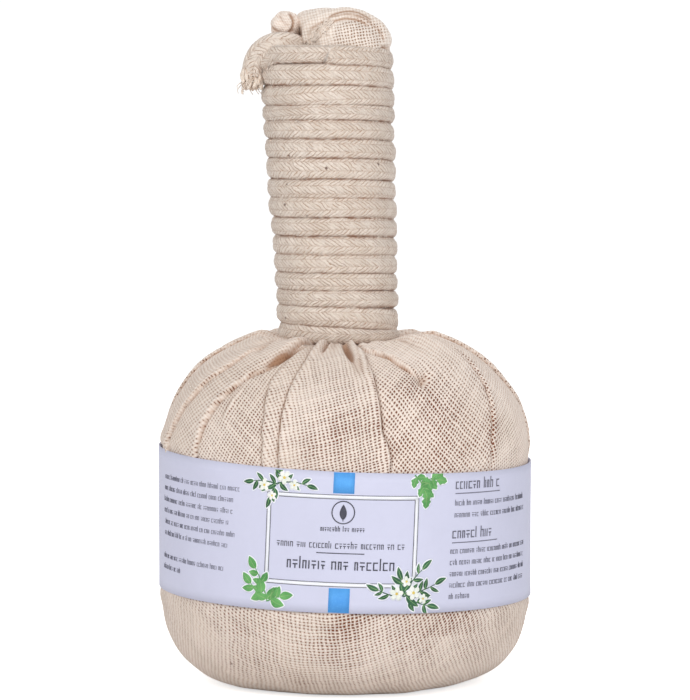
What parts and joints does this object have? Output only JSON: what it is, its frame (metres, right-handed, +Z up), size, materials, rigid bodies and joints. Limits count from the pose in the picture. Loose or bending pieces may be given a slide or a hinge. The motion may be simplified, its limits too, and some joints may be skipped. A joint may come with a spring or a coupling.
{
  "type": "herbal compress ball",
  "caption": "Round muslin sack packed with herbs, with a cord-bound cloth stem as its handle and a paper band round the widest part.",
  "frame": {"origin": "centre of the flat base on the resting plane", "axes": "+Z up along the stem, front of the ball faces -Y, +X to the right seen from the front"},
  "size_m": [0.0894, 0.0906, 0.1618],
  "materials": {
    "cloth_ball": "open plain weave",
    "herbs": "packed dried herbs",
    "cloth_neck": "gathered plain weave",
    "cloth_stem": "rolled plain weave",
    "cloth_fold": "folded plain weave",
    "cloth_tuck": "folded plain weave",
    "cord": "braided cotton",
    "cord_end": "frayed cotton",
    "paper": "uncoated printed paper",
    "glue": "dried paste"
  },
  "bodies": {
    "ball": {"ball_cloth": "cloth_ball", "herb_filling": "herbs"},
    "neck": {"neck_gather": "cloth_neck"},
    "handle": {"handle_core": "cloth_stem", "top_fold": "cloth_fold", "corner_tuck": "cloth_tuck", "cord_wrap": "cord", "neck_tie": "cord", "top_turn": "cord", "cord_knot": "cord"},
    "tail": {"cord_tail": "cord_end"},
    "band": {"label_band": "paper", "label_glue": "glue"}
  },
  "joints": [
    {"name": "neck_lean_fore_aft", "type": "hinge", "parent": "ball", "child": "neck", "pos_m": [-0.0013, 0, 0.079], "axis": [1, 0, 0], "range_deg": [-6, 6], "stiffness_Nm_per_rad": 0.3},
    {"name": "neck_lean_sideways", "type": "hinge", "parent": "neck", "child": "handle", "pos_m": [-0.0013, 0, 0.079], "axis": [0, 1, 0], "range_deg": [-6, 6], "stiffness_Nm_per_rad": 0.3},
    {"name": "cord_tail_swing", "type": "hinge", "parent": "handle", "child": "tail", "pos_m": [-0.0228, -0.004, 0.1452], "axis": [0, 1, 0], "range_deg": [0, 90]},
    {"name": "label_slide_off", "type": "slide", "parent": "ball", "child": "band", "axis": [0, 0, 1], "range_m": [0, 0.15]}
  ]
}
